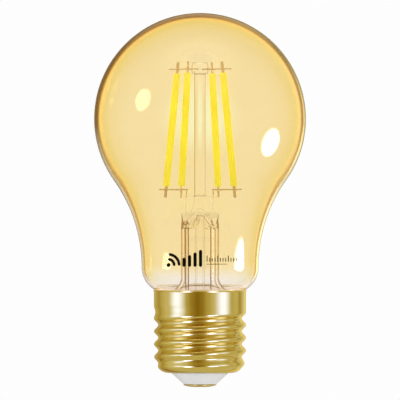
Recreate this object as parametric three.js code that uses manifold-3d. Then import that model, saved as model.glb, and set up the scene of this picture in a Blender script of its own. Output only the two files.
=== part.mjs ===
// Smart light bulb: an A60 amber glass lamp with four LED filaments on a glass stem, an E27 screw cap,
// and a wireless LED driver inside the cap. Millimetres, +Z up. The origin is on the axis at the tip of
// the centre contact, and the glass dome is at the top.
import * as THREE from 'three';
import { mergeVertices } from 'three/addons/utils/BufferGeometryUtils.js';
import Module from 'manifold-3d';

const wasm = await Module();
wasm.setup();

// ---------------------------------------------------------------- driving dimensions
const OVERALL_LENGTH = 106;
const BULB_RADIUS = 30;
const GLASS_WALL = 0.8;

// The glass outline is a dome, a hollow flank, a rounded shoulder and a fillet into the sealed neck tube.
const DOME_CENTRE_Z = OVERALL_LENGTH - BULB_RADIUS;
const NECK_RADIUS = 16.55;
const FLANK_RADIUS = 42.6;
const SHOULDER_RADIUS = 7.4;
const SEAL_TUBE_RADIUS = 11;
const SEAL_FILLET = 1;
const SEAL_Z = 21;

// E27 screw shell: right-hand round thread.
const PITCH = 3.629;
const ROOT_RADIUS = 11.85;
const THREAD_DEPTH = 1.2;
const SHELL_WALL = 0.3;
const SHELL_BOTTOM_Z = 4;
const SHELL_TOP_Z = 27.5;
const FIRST_CREST_Z = 6.71;
const THREAD_TOP_Z = 22.6;
const CORNER = { z: 6.1, r: 8.85, wide: 3, high: 2.1 };

// Stem, press, post and button.
const STEM_RADIUS = 5.4;
const STEM_BORE = 4.5;
const STEM_TOP_Z = 46.2;
const FLARE_Z = 30;
const FLARE_RIM_Z = 20.2;
const PRESS_HALF_THICKNESS = 1.7;
const PRESS_TOP_Z = 54.3;
const ROOF_Z = 45.3;
const ROOF_APEX_Z = 49;
const POST_RADIUS = 1.55;
const BUTTON_RADIUS = 2.35;
const BUTTON_Z = 88.8;
const BUTTON_HEIGHT = 3.2;

// Four filaments stand round the post, a quarter turn apart, and lean in at the top.
const FILAMENT_TURN = THREE.MathUtils.degToRad(-28.4);
const FILAMENT_MID = { r: 9.14, z: 73.05 };
const FILAMENT_LEAN = THREE.MathUtils.degToRad(6.3);
const FILAMENT_LENGTH = 32;
const FILAMENT_RADIUS = 0.98;
const STRIP = { wide: 1, thick: 0.3, length: 30 };
const TAB = { wide: 0.9, thick: 0.25, start: 15.05, end: 19.3 };

// Wires.
const THIN_WIRE = 0.2;
const LEAD_WIRE = 0.26;
const WIRE_CLEARANCE = 0.1;
const WELD_OFFSET = TAB.thick / 2 + THIN_WIRE + 0.04;
const TOP_WIRE = { z: 90.1, from: 1.6, to: 9.9 };
const BUS = { z: 56.2, from: 8.2, to: 13.2, joint: 3.9 };
const SPLICE_Z = 47.2;

// Cap interior.
const BOARD = { z: 11, thick: 1, r: 10.1 };
const BOARD_TOP_Z = BOARD.z + BOARD.thick;
const PART_GAP = 0.05;

const ROUND = 36;
const SMALL_ROUND = 16;

// ---------------------------------------------------------------- materials
const finish = (color, roughness, metalness) => new THREE.MeshStandardMaterial({ color, roughness, metalness });
const MATERIALS = {
  amberGlass: finish(0xf0c878, 0.05, 0),
  clearGlass: finish(0xf4ecdc, 0.05, 0),
  phosphor: finish(0xf5dc28, 0.55, 0),
  ceramic: finish(0xe8e6de, 0.5, 0),
  nickel: finish(0xb09468, 0.35, 1),
  copper: finish(0xb4703c, 0.4, 1),
  brass: finish(0xc8a850, 0.25, 1),
  whitePlastic: finish(0xd8d8d8, 0.5, 0),
  cement: finish(0xe6dccb, 0.9, 0),
  board: finish(0xdfe2de, 0.5, 0),
  blackPlastic: finish(0x222222, 0.5, 0),
  tin: finish(0xc6c8ca, 0.35, 1),
  redWire: finish(0xa03028, 0.5, 0),
  blueWire: finish(0x2c4a8c, 0.5, 0),
  ferrite: finish(0x4a4a4c, 0.8, 0),
  resistor: finish(0x6f9c94, 0.6, 0),
};

// ---------------------------------------------------------------- shape helpers
// Points along an arc in the (radius, height) plane, angles in degrees from the radius axis.
function arc(centreR, centreZ, radius, fromDeg, toDeg, steps) {
  return Array.from({ length: steps + 1 }, (_, i) => {
    const a = THREE.MathUtils.degToRad(fromDeg + ((toDeg - fromDeg) * i) / steps);
    return new THREE.Vector2(centreR + radius * Math.cos(a), centreZ + radius * Math.sin(a));
  });
}

// A solid of revolution about Z. The profile runs from top to bottom on the outside.
function lathe(profile, segments = ROUND) {
  const points = profile.map((p) => (p.isVector2 ? p : new THREE.Vector2(p[0], p[1])));
  return new THREE.LatheGeometry(points.reverse(), segments).rotateX(Math.PI / 2);
}

function closed(points) {
  return [...points, points[0]];
}

function roundShape(radius, sides) {
  const shape = new THREE.Shape();
  for (let i = 0; i < sides; i += 1) {
    const a = ((i + 0.5) / sides) * 2 * Math.PI;
    shape[i ? 'lineTo' : 'moveTo'](radius * Math.cos(a), radius * Math.sin(a));
  }
  shape.closePath();
  return shape;
}

// A round wire of the given radius along a straight or curved path of points.
function wire(points, radius, steps = 1, sides = 6) {
  const at = points.map((p) => new THREE.Vector3(...p));
  const path = at.length === 2
    ? new THREE.LineCurve3(...at)
    : new THREE.CatmullRomCurve3(at, false, 'centripetal');
  const options = { extrudePath: path, steps, bevelEnabled: false };
  return new THREE.ExtrudeGeometry(roundShape(radius, sides), options);
}

function box(wide, deep, high, x = 0, y = 0, z = 0) {
  return new THREE.BoxGeometry(wide, deep, high).translate(x, y, z);
}

function cylinder(radius, low, high, x = 0, y = 0, segments = SMALL_ROUND) {
  return new THREE.CylinderGeometry(radius, radius, high - low, segments)
    .rotateX(Math.PI / 2)
    .translate(x, y, (low + high) / 2);
}

function solid(geometry) {
  const bare = geometry.clone();
  bare.deleteAttribute('normal');
  bare.deleteAttribute('uv');
  const merged = mergeVertices(bare, 1e-4);
  return new wasm.Manifold(
    new wasm.Mesh({
      numProp: 3,
      vertProperties: new Float32Array(merged.attributes.position.array),
      triVerts: new Uint32Array(merged.index.array),
    }),
  );
}

function geometryOf(body) {
  const mesh = body.getMesh();
  return new THREE.BufferGeometry()
    .setAttribute('position', new THREE.BufferAttribute(new Float32Array(mesh.vertProperties), 3))
    .setIndex(new THREE.BufferAttribute(new Uint32Array(mesh.triVerts), 1));
}

function joined(...geometries) {
  return geometryOf(geometries.map(solid).reduce((a, b) => a.add(b)));
}

function cut(geometry, ...tools) {
  return geometryOf(tools.map(solid).reduce((a, b) => a.subtract(b), solid(geometry)));
}

const bulb = new THREE.Group();

function add(name, geometry, material, parent = bulb) {
  const mesh = new THREE.Mesh(geometry, material);
  mesh.name = name;
  parent.add(mesh);
  return mesh;
}

// ---------------------------------------------------------------- glass envelope
// The glass outline at a depth under the outer surface, from the top of the dome to the end of the neck tube.
function envelopeOutline(depth) {
  const flankR = NECK_RADIUS + FLANK_RADIUS;
  const flankZ = DOME_CENTRE_Z - Math.sqrt((BULB_RADIUS + FLANK_RADIUS) ** 2 - flankR ** 2);
  const flankDeg = THREE.MathUtils.radToDeg(Math.atan2(DOME_CENTRE_Z - flankZ, -flankR));
  const shoulderR = NECK_RADIUS - SHOULDER_RADIUS;
  const filletR = SEAL_TUBE_RADIUS + SEAL_FILLET;
  const filletZ = flankZ - Math.sqrt((SHOULDER_RADIUS + SEAL_FILLET) ** 2 - (filletR - shoulderR) ** 2);
  const filletDeg = THREE.MathUtils.radToDeg(Math.atan2(flankZ - filletZ, shoulderR - filletR));
  return [
    ...arc(0, DOME_CENTRE_Z, BULB_RADIUS - depth, 90, flankDeg - 180, 13).slice(0, -1),
    ...arc(flankR, flankZ, FLANK_RADIUS + depth, flankDeg, 180, 6).slice(0, -1),
    ...arc(shoulderR, flankZ, SHOULDER_RADIUS - depth, 0, filletDeg - 180, 5).slice(0, -1),
    ...arc(filletR, filletZ, SEAL_FILLET + depth, filletDeg, 180, 2),
    new THREE.Vector2(SEAL_TUBE_RADIUS - depth, SEAL_Z),
  ];
}

function envelope() {
  const outside = envelopeOutline(0);
  const inside = envelopeOutline(GLASS_WALL).reverse();
  outside[0].x = 0;
  inside[inside.length - 1].x = 0;
  return lathe([...outside, ...inside]);
}

add('glass_envelope', envelope(), MATERIALS.amberGlass);

// ---------------------------------------------------------------- screw cap
// Height of the thread over its root at an angle and height: whole turns count up from the lowest crest.
function threadRise(angle, z) {
  const turn = (angle < 0 ? angle + 2 * Math.PI : angle) / (2 * Math.PI);
  const crest = (z - FIRST_CREST_Z) / PITCH - turn;
  const wave = (1 + Math.cos(2 * Math.PI * crest)) / 2;
  const start = THREE.MathUtils.smoothstep(Math.round(crest) + turn, -1, 0.7);
  const runOut = 1 - THREE.MathUtils.smoothstep(Math.floor(crest) + 0.5 + turn, 3.5, 4.3);
  const corner = THREE.MathUtils.smoothstep(z, SHELL_BOTTOM_Z + 0.3, CORNER.z + 0.1);
  return THREAD_DEPTH * (1 - (1 - wave) * runOut) * start * corner;
}

function shellOutline(depth) {
  const rows = Math.round((THREAD_TOP_Z - CORNER.z) / (PITCH / 5));
  const root = ROOT_RADIUS - depth;
  const thread = Array.from({ length: rows + 1 }, (_, i) => {
    const z = THREAD_TOP_Z - ((THREAD_TOP_Z - CORNER.z) * i) / rows;
    return new THREE.Vector2(root, z);
  });
  const corner = arc(0, 0, 1, 0, -90, 3)
    .slice(1)
    .map((p) => new THREE.Vector2(
      CORNER.r + (CORNER.wide - depth) * p.x,
      CORNER.z + (CORNER.high - depth) * p.y,
    ));
  return [
    new THREE.Vector2(root + 0.25, SHELL_TOP_Z),
    new THREE.Vector2(root, SHELL_TOP_Z - 0.6),
    ...thread,
    ...corner,
    new THREE.Vector2(8.3, SHELL_BOTTOM_Z + depth),
  ];
}

function screwShell() {
  const geometry = lathe(closed([...shellOutline(0), ...shellOutline(SHELL_WALL).reverse()]));
  const at = geometry.attributes.position;
  for (let i = 0; i < at.count; i += 1) {
    const radius = Math.hypot(at.getX(i), at.getY(i));
    const grown = (radius + threadRise(Math.atan2(at.getY(i), at.getX(i)), at.getZ(i))) / radius;
    at.setXY(i, at.getX(i) * grown, at.getY(i) * grown);
  }
  return geometry;
}

const INSULATOR_TOP_Z = 6.8;
const CONTACT_BORE = 1.35;
const CONTACT_SHANK = { r: 1.2, top: 7.6 };

add('screw_shell', screwShell(), MATERIALS.brass);
add(
  'cap_insulator',
  lathe(
    closed([
      [CONTACT_BORE, INSULATOR_TOP_Z],
      [11.1, INSULATOR_TOP_Z],
      [10.9, 5.7],
      [9.9, 4.75],
      [8.7, 4.38],
      [8.1, 4.36],
      [8.1, 3.95],
      [4.6, 0.8],
      [CONTACT_BORE, 0.8],
    ]),
  ),
  MATERIALS.whitePlastic,
);
add(
  'centre_contact',
  lathe(
    [
      [0, CONTACT_SHANK.top],
      [CONTACT_SHANK.r, CONTACT_SHANK.top],
      [CONTACT_SHANK.r, 0.75],
      [4.55, 0.75],
      [4.7, 0.62],
      [4.6, 0.48],
      [3.6, 0.14],
      [2, 0],
      [0, 0],
    ],
    24,
  ),
  MATERIALS.brass,
);
add(
  'basing_cement',
  lathe(
    closed([
      [11.15, 25.9],
      [11.35, 26.45],
      [11.7, 26.75],
      [12.2, 26.98],
      [12.55, 27.15],
      [12.55, 22.8],
      [11.3, 21.4],
      [11.15, 21.4],
    ]),
  ),
  MATERIALS.cement,
);

// ---------------------------------------------------------------- lead-in wires
// Where each lead-in stands in the stem tube, and its route through the press to the weld above it.
const quarter = (n) => FILAMENT_TURN + (n * Math.PI) / 2;
const polar = (r, angle, z) => [r * Math.cos(angle), r * Math.sin(angle), z];
const RIGHT_JOINT = quarter(0.5);
const LEFT_JOINT = quarter(2.5);
const COMMON_AT = [-1.5, -1.06];
const BUS_WELD_Z = BUS.z - THIN_WIRE - PART_GAP;
const LEADS = {
  left: {
    foot: [-4.05, -0.4],
    radius: LEAD_WIRE,
    route: [[-4, -0.6, 50], [-3.9, -0.9, 54.4], polar(BUS.joint, LEFT_JOINT, BUS_WELD_Z)],
    steps: 9,
  },
  right: {
    foot: [3.1, 0.3],
    radius: LEAD_WIRE,
    route: [[3.5, 0.6, 50], [3.75, 0.9, 54.4], polar(BUS.joint, RIGHT_JOINT, BUS_WELD_Z)],
    steps: 9,
  },
  common: {
    foot: [-3.35, 0.6],
    radius: THIN_WIRE,
    route: [[-2.3, -0.4, 50.4], [...COMMON_AT, 54.1], [...COMMON_AT, 56], [...COMMON_AT, BUTTON_Z + 0.6]],
    steps: 36,
  },
};

function innerLead({ foot, radius, route, steps }, growth = 0) {
  return wire([[...foot, SPLICE_Z], ...route], radius + growth, steps);
}

const leadHoles = [];
for (const [side, lead] of Object.entries(LEADS)) {
  add(`inner_lead_${side}`, innerLead(lead), MATERIALS.nickel);
  const low = [...lead.foot, BOARD.z - 0.5];
  const high = [...lead.foot, SPLICE_Z - PART_GAP];
  add(`outer_lead_${side}`, wire([low, high], lead.radius), MATERIALS.copper);
  leadHoles.push(innerLead(lead, WIRE_CLEARANCE));
  const shaft = [[...lead.foot, ROOF_Z - 1], [...lead.foot, SPLICE_Z + 0.2]];
  leadHoles.push(wire(shaft, lead.radius + WIRE_CLEARANCE));
}

// ---------------------------------------------------------------- stem
// A flared tube with a flat press on top. The leads, the exhaust tube and the port all end in the press.
const FLARE = [
  [0, FLARE_Z + 2],
  [0.05, FLARE_Z],
  [1.2, FLARE_Z - 2.3],
  [2.9, FLARE_Z - 4.6],
  [3.9, FLARE_Z - 6.5],
  [4.2, SEAL_Z],
];

function flareCurve(tubeRadius, drop) {
  const curve = new THREE.SplineCurve(FLARE.map(([r, z]) => new THREE.Vector2(tubeRadius + r, z - drop)));
  return curve.getPoints(9);
}

function stem() {
  const outside = lathe([
    [0, STEM_TOP_Z + 3.4],
    [1.9, STEM_TOP_Z + 3.4],
    [STEM_RADIUS, STEM_TOP_Z],
    ...flareCurve(STEM_RADIUS, 0),
    [SEAL_TUBE_RADIUS, SEAL_Z],
    [SEAL_TUBE_RADIUS, FLARE_RIM_Z],
    [0, FLARE_RIM_Z],
  ]);
  const pressHigh = PRESS_TOP_Z - STEM_TOP_Z + 1;
  const press = box(2 * STEM_RADIUS, 2 * PRESS_HALF_THICKNESS, pressHigh, 0, 0, PRESS_TOP_Z - pressHigh / 2);
  const bore = lathe([
    [0, ROOF_APEX_Z + 1.4],
    [0.9, ROOF_APEX_Z + 1.4],
    [0.9, ROOF_APEX_Z],
    [1.2, ROOF_APEX_Z],
    [STEM_BORE, ROOF_Z],
    ...flareCurve(STEM_BORE, 0.5),
    [STEM_BORE + 4.2, FLARE_RIM_Z - 1],
    [0, FLARE_RIM_Z - 1],
  ]);
  const port = new THREE.CylinderGeometry(0.6, 0.6, 3, 12).translate(0, 1.5, ROOF_APEX_Z + 0.8);
  return cut(joined(outside, press), bore, port, ...leadHoles);
}

function exhaustTube() {
  const bore = 0.9;
  const outer = 1.4;
  return lathe(
    [
      [bore, ROOF_APEX_Z - 0.6],
      [outer, ROOF_APEX_Z - 0.6],
      [outer, 16],
      [1.1, 14.8],
      [0.5, 14.2],
      [0, 14],
      [0, 15.4],
      [0.5, 15.7],
      [bore, 16.6],
      [bore, ROOF_APEX_Z - 0.6],
    ],
    16,
  );
}

add('stem', stem(), MATERIALS.clearGlass);
add('exhaust_tube', exhaustTube(), MATERIALS.clearGlass);
add('centre_post', cylinder(POST_RADIUS, PRESS_TOP_Z, BUTTON_Z), MATERIALS.clearGlass);

// ---------------------------------------------------------------- top button
// A glass bead that the top wires and the common lead-in are melted into.
function topButton() {
  const top = BUTTON_Z + BUTTON_HEIGHT;
  const bead = lathe([[0, top], ...arc(BUTTON_RADIUS - 0.6, top - 0.6, 0.6, 90, 0, 3), [BUTTON_RADIUS, BUTTON_Z + 0.3],
    [BUTTON_RADIUS - 0.3, BUTTON_Z], [0, BUTTON_Z]], 24);
  const holes = [0, 1, 2, 3].map((n) => topWire(WIRE_CLEARANCE).rotateZ(quarter(n)));
  const well = wire([[...COMMON_AT, BUTTON_Z - 1], [...COMMON_AT, BUTTON_Z + 0.7]], THIN_WIRE + WIRE_CLEARANCE);
  return cut(bead, ...holes, well);
}

// A top wire runs out from the button along +X, against the flat of a filament's tab.
function topWire(growth = 0) {
  const { z, from, to } = TOP_WIRE;
  return wire([[from - growth, WELD_OFFSET, z], [to, WELD_OFFSET, z]], THIN_WIRE + growth);
}

add('top_button', topButton(), MATERIALS.clearGlass);

// ---------------------------------------------------------------- filaments
// Each filament is a ceramic strip with a metal tab at each end, all along its own Z, in a phosphor coat.
function phosphorCoat() {
  const shape = roundShape(FILAMENT_RADIUS, 12);
  const wide = STRIP.wide / 2 + 0.06;
  const thick = STRIP.thick / 2 + 0.06;
  const slot = new THREE.Path([[-wide, -thick], [wide, -thick], [wide, thick], [-wide, thick]]
    .map(([x, y]) => new THREE.Vector2(x, y)));
  shape.holes.push(slot);
  return new THREE.ExtrudeGeometry(shape, { depth: FILAMENT_LENGTH, steps: 1, bevelEnabled: false })
    .translate(0, 0, -FILAMENT_LENGTH / 2);
}

for (let n = 0; n < 4; n += 1) {
  const place = new THREE.Group();
  place.rotation.z = quarter(n);
  bulb.add(place);
  add(`top_wire_${n + 1}`, topWire(), MATERIALS.nickel, place);

  const filament = new THREE.Group();
  filament.position.set(FILAMENT_MID.r, 0, FILAMENT_MID.z);
  filament.rotation.y = -FILAMENT_LEAN;
  place.add(filament);
  const tabLength = TAB.end - TAB.start;
  const tabMiddle = (TAB.end + TAB.start) / 2;
  add(`filament_coat_${n + 1}`, phosphorCoat(), MATERIALS.phosphor, filament);
  add(`filament_strip_${n + 1}`, box(STRIP.wide, STRIP.thick, STRIP.length), MATERIALS.ceramic, filament);
  add(`top_tab_${n + 1}`, box(TAB.wide, TAB.thick, tabLength, 0, 0, tabMiddle), MATERIALS.nickel, filament);
  add(`bottom_tab_${n + 1}`, box(TAB.wide, TAB.thick, tabLength, 0, 0, -tabMiddle), MATERIALS.nickel, filament);
}

// A bus wire joins the bottom tabs of two neighbouring filaments and bends in to its lead-in between them.
// It is drawn for the filaments at quarter turns 0 and 1, each tab touched on its inner flat.
function busWire() {
  const along = (angle, side) => (r) => [
    r * Math.cos(angle) - side * WELD_OFFSET * Math.sin(angle),
    r * Math.sin(angle) + side * WELD_OFFSET * Math.cos(angle),
    BUS.z,
  ];
  const first = along(quarter(0), 1);
  const second = along(quarter(1), -1);
  const middle = (BUS.from + BUS.to) / 2;
  const route = [first(BUS.to), first(middle), first(BUS.from), polar(BUS.joint, RIGHT_JOINT, BUS.z)];
  return wire([...route, second(BUS.from), second(middle), second(BUS.to)], THIN_WIRE, 24);
}

add('bus_wire_right', busWire(), MATERIALS.nickel);
add('bus_wire_left', busWire(), MATERIALS.nickel).rotation.z = Math.PI;

// ---------------------------------------------------------------- driver in the cap
const SLEEVE = { r: 11.1, bore: 10.4, low: 7.4, high: 19.6 };
const RESISTOR = { y: -6.2, z: 8.7, r: 1.1, half: 3, reach: 4.6 };
const NEUTRAL = { turn: THREE.MathUtils.degToRad(16), r: 8.6, z: 7.08 };
const MODULE = { y: -4.5, wide: 9, thick: 0.8, high: 11.4 };
const MODULE_FACE_Y = MODULE.y - MODULE.thick / 2 - PART_GAP;

function insulatingSleeve() {
  const ledge = { bore: 9.6, low: 10.2, high: BOARD.z - PART_GAP };
  return lathe(
    closed([
      [SLEEVE.bore, SLEEVE.high],
      [SLEEVE.r, SLEEVE.high],
      [SLEEVE.r, SLEEVE.low],
      [SLEEVE.bore, SLEEVE.low],
      [SLEEVE.bore, ledge.low - 0.6],
      [ledge.bore, ledge.low],
      [ledge.bore, ledge.high],
      [SLEEVE.bore, ledge.high],
    ]),
    32,
  );
}

function driverBoard() {
  const hole = (x, y, r) => cylinder(r, BOARD.z - 1, BOARD_TOP_Z + 1, x, y, 8);
  const leadHolesInBoard = Object.values(LEADS)
    .map(({ foot, radius }) => hole(...foot, radius + WIRE_CLEARANCE));
  return cut(
    cylinder(BOARD.r, BOARD.z, BOARD_TOP_Z, 0, 0, 32),
    ...leadHolesInBoard,
    hole(-RESISTOR.reach, RESISTOR.y, 0.4),
    hole(NEUTRAL.r * Math.cos(NEUTRAL.turn), NEUTRAL.r * Math.sin(NEUTRAL.turn), 0.4),
  );
}

function fusibleResistor() {
  const { y, z, r, half, reach } = RESISTOR;
  const body = lathe(
    [[0, half], [r - 0.25, half], [r, half - 0.3], [r, half - 1.1], [r - 0.15, half - 1.4],
      [r - 0.15, 1.4 - half], [r, 1.1 - half], [r, 0.3 - half], [r - 0.25, -half], [0, -half]],
    12,
  ).rotateY(Math.PI / 2).translate(0, y, z);
  const rightLeg = wire([[0, y, z], [reach, y, z]], 0.25);
  const leftRoute = [[0, y, z], [-3.6, y, z], [-reach, y, z + 0.8], [-reach, y, BOARD_TOP_Z + 0.4]];
  const leftLeg = wire(leftRoute, 0.25, 14);
  return joined(body, rightLeg, leftLeg);
}

function driverChip() {
  const at = [6.8, -1.9];
  const leg = 0.4;
  const legs = [-1.9, -0.63, 0.63, 1.9].flatMap((dx) => [-1, 1].map((side) => box(
    leg, 1.2, 0.5, at[0] + dx * 0.9, at[1] + side * 2.2, BOARD_TOP_Z + PART_GAP + 0.25,
  )));
  return joined(box(4.4, 3.6, 1.3, ...at, BOARD_TOP_Z + PART_GAP + 0.2 + 0.65), ...legs);
}

function smoothingCapacitor() {
  const low = BOARD_TOP_Z + PART_GAP;
  const r = 3.15;
  const high = low + 7;
  return lathe(
    [[0, high], [r - 0.3, high], [r, high - 0.3], [r, low + 1.6], [r - 0.3, low + 1.3], [r, low + 1],
      [r, low + 0.2], [r - 0.2, low], [0, low]],
    SMALL_ROUND,
  ).translate(-5.3, 4.9, 0);
}

function chokeCore() {
  const low = BOARD_TOP_Z + PART_GAP;
  const flange = 2.6;
  const neck = 1.3;
  return lathe(
    [[0, low + 5], [flange, low + 5], [flange, low + 4.1], [neck, low + 4.1], [neck, low + 0.9],
      [flange, low + 0.9], [flange, low], [0, low]],
    SMALL_ROUND,
  ).translate(5.2, 4.9, 0);
}

function chokeWinding() {
  const low = BOARD_TOP_Z + PART_GAP + 1;
  const bore = 1.4;
  const layers = [[2.2, low + 3], [2.35, low + 2.4], [2.35, low + 0.6], [2.2, low]];
  return lathe(closed([[bore, low + 3], ...layers, [bore, low]]), SMALL_ROUND).translate(5.2, 4.9, 0);
}

// A printed meander antenna on the upper end of the wireless board.
function antennaTrace() {
  const line = 0.4;
  const pitch = 1.1;
  const high = 2.6;
  const fingers = 6;
  const bars = [];
  for (let i = 0; i <= fingers; i += 1) bars.push(box(line, 0.15, high, (i - fingers / 2) * pitch, 0, 0));
  for (let i = 0; i < fingers; i += 1) {
    const side = i % 2 ? 1 : -1;
    bars.push(box(pitch + line, 0.15, line, (i - (fingers - 1) / 2) * pitch, 0, (side * (high - line)) / 2));
  }
  return joined(...bars).translate(0, MODULE_FACE_Y - 0.075, 21.4);
}

const moduleLow = BOARD_TOP_Z + PART_GAP;
add('insulating_sleeve', insulatingSleeve(), MATERIALS.whitePlastic);
add('driver_board', driverBoard(), MATERIALS.board);
add('wireless_board', box(MODULE.wide, MODULE.thick, MODULE.high, 0, MODULE.y, moduleLow + MODULE.high / 2),
  MATERIALS.board);
add('shield_can', box(6.4, 1.2, 5.4, 0, MODULE_FACE_Y - 0.6, 16), MATERIALS.tin);
add('antenna_trace', antennaTrace(), MATERIALS.copper);
add('module_header', box(7, 1.4, 1.5, 0, MODULE.y + MODULE.thick / 2 + PART_GAP + 0.7, moduleLow + 0.75),
  MATERIALS.blackPlastic);
add('driver_chip', driverChip(), MATERIALS.blackPlastic);
add('bridge_rectifier', box(4.6, 3.8, 1.4, 4.5, 4.6, BOARD.z - PART_GAP - 0.7), MATERIALS.blackPlastic);
add('smoothing_capacitor', smoothingCapacitor(), MATERIALS.blackPlastic);
add('choke_core', chokeCore(), MATERIALS.ferrite);
add('choke_winding', chokeWinding(), MATERIALS.copper);
add('fusible_resistor', fusibleResistor(), MATERIALS.resistor);
add(
  'live_wire',
  wire([[0, 0, CONTACT_SHANK.top + 0.05], [0, 0, 8.2], [2.2, -1.8, 9.3], [5.1, -4.6, 9],
    [5.1, -6.2, RESISTOR.z]], 0.4, 12),
  MATERIALS.redWire,
);
add(
  'neutral_wire',
  wire([[NEUTRAL.r, 0, BOARD_TOP_Z + 0.4], [NEUTRAL.r, 0, 9.5], [NEUTRAL.r + 0.2, 0, 7.7],
    [NEUTRAL.r + 0.9, 0, NEUTRAL.z], [11.3, 0, NEUTRAL.z]], THIN_WIRE, 12).rotateZ(NEUTRAL.turn),
  MATERIALS.blueWire,
);

export default bulb;
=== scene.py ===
"""Smart filament light bulb: the looks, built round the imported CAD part. Metres, +Z up, camera along +Y."""
import math
import random

import bmesh
import bpy
from mathutils import Matrix, Vector


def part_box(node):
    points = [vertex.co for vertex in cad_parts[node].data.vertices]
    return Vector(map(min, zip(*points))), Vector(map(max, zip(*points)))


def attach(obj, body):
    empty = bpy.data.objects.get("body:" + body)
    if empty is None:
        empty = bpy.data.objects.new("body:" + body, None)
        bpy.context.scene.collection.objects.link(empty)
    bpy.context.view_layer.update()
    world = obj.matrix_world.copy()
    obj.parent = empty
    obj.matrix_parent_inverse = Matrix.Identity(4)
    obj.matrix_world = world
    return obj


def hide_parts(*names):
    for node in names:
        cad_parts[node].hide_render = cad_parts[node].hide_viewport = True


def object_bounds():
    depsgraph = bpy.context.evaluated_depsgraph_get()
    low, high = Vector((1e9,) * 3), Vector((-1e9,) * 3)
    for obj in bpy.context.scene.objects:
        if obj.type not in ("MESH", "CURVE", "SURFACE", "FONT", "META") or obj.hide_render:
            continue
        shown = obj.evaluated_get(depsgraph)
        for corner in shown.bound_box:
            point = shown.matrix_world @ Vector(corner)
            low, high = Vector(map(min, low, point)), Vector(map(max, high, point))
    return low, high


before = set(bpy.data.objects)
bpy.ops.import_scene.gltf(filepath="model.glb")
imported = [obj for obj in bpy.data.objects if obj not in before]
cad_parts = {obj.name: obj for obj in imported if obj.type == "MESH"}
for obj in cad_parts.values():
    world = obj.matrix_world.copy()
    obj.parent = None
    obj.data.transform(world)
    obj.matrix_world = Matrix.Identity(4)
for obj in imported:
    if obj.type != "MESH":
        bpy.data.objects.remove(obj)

CAD_LOW, CAD_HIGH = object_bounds()
MM = 0.001
TAU = 2 * math.pi


def low(node):
    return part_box(node)[0]


def high(node):
    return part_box(node)[1]


# ------------------------------------ driving sizes
BULB_RADIUS = 30 * MM
GLASS_WALL = 0.8 * MM
NECK_RADIUS = 16.55 * MM
FLANK_RADIUS = 42.6 * MM
SHOULDER_RADIUS = 7.4 * MM
SEAL_TUBE_RADIUS = 11 * MM
SEAL_FILLET = 1 * MM
DOME_CENTRE_Z = high("glass_envelope").z - BULB_RADIUS
SEAL_Z = low("glass_envelope").z

PITCH = 3.629 * MM
ROOT_RADIUS = 11.85 * MM
THREAD_DEPTH = 1.2 * MM
SHELL_WALL = 0.3 * MM
SHELL_TOP_Z = high("screw_shell").z
SHELL_BOTTOM_Z = low("screw_shell").z
FIRST_CREST_Z = SHELL_BOTTOM_Z + 2.71 * MM
CORNER_Z = SHELL_BOTTOM_Z + 2.1 * MM
CORNER_R = 8.85 * MM
CORNER_WIDE = 3 * MM
CORNER_HIGH = 2.1 * MM
RUN_IN = (-1, 0.7)  # the turns over which the thread grows at its foot
RUN_OUT = (3.5, 4.3)  # and those over which it dies out at its top

STEM_RADIUS = 5.4 * MM
STEM_BORE = 4.5 * MM
PRESS_TOP_Z = high("stem").z
FLARE_RIM_Z = low("stem").z
PRESS_HALF_THICK = 1.7 * MM
PRESS_FOOT_Z = 50.2 * MM
SHAFT_TOP_Z = 45.4 * MM
SHAFT_FOOT_Z = 32.2 * MM
ROOF_FOOT_Z = 45.2 * MM
ROOF_TIP_Z = 49.3 * MM
ROOF_TIP_RADIUS = 0.95 * MM
PRESS_SQUARENESS = 5  # the power of its oval, where an ellipse has 2
POST_RADIUS = high("centre_post").x
BUTTON_LOW, BUTTON_HIGH = low("top_button").z, high("top_button").z
BUTTON_RADIUS = high("top_button").x

FILAMENT_TURN = math.radians(-28.4)
FILAMENT_LEAN = math.radians(6.3)
FILAMENT_R = 9.14 * MM
FILAMENT_Z = (low("filament_coat_1").z + high("filament_coat_1").z) / 2
FILAMENT_LENGTH = 32 * MM
FILAMENT_RADIUS = 0.98 * MM
TAB_WIDE = 0.9 * MM
TAB_THICK = 0.25 * MM
TAB_START, TAB_END = 15.05 * MM, 19.3 * MM  # from the middle of the filament
THIN_WIRE = 0.2 * MM  # radius of the wires at the tabs
LEAD_WIRE = 0.26 * MM  # radius of the CAD part's lead-in wires, which look thinner than that through the glass
WELD_OFFSET = TAB_THICK / 2 + THIN_WIRE + 0.04 * MM
TOP_WIRE_Z = (low("top_wire_1").z + high("top_wire_1").z) / 2
BUS_Z = (low("bus_wire_right").z + high("bus_wire_right").z) / 2


def quarter(n):
    """The angle of filament n round the lamp."""
    return FILAMENT_TURN + n * math.pi / 2


def polar(r, angle, z):
    return Vector((r * math.cos(angle), r * math.sin(angle), z))


# ------------------------------------ mesh helpers
def smoothstep(x, a, b):
    t = min(max((x - a) / (b - a), 0), 1)
    return t * t * (3 - 2 * t)


def lerp(a, b, t):
    return a + (b - a) * t


def new_object(name, verts, faces, smooth=True):
    mesh = bpy.data.meshes.new(name)
    mesh.from_pydata([tuple(v) for v in verts], [], faces)
    mesh.validate()
    mesh.polygons.foreach_set("use_smooth", [smooth] * len(mesh.polygons))
    obj = bpy.data.objects.new(name, mesh)
    bpy.context.scene.collection.objects.link(obj)
    return obj


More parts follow.
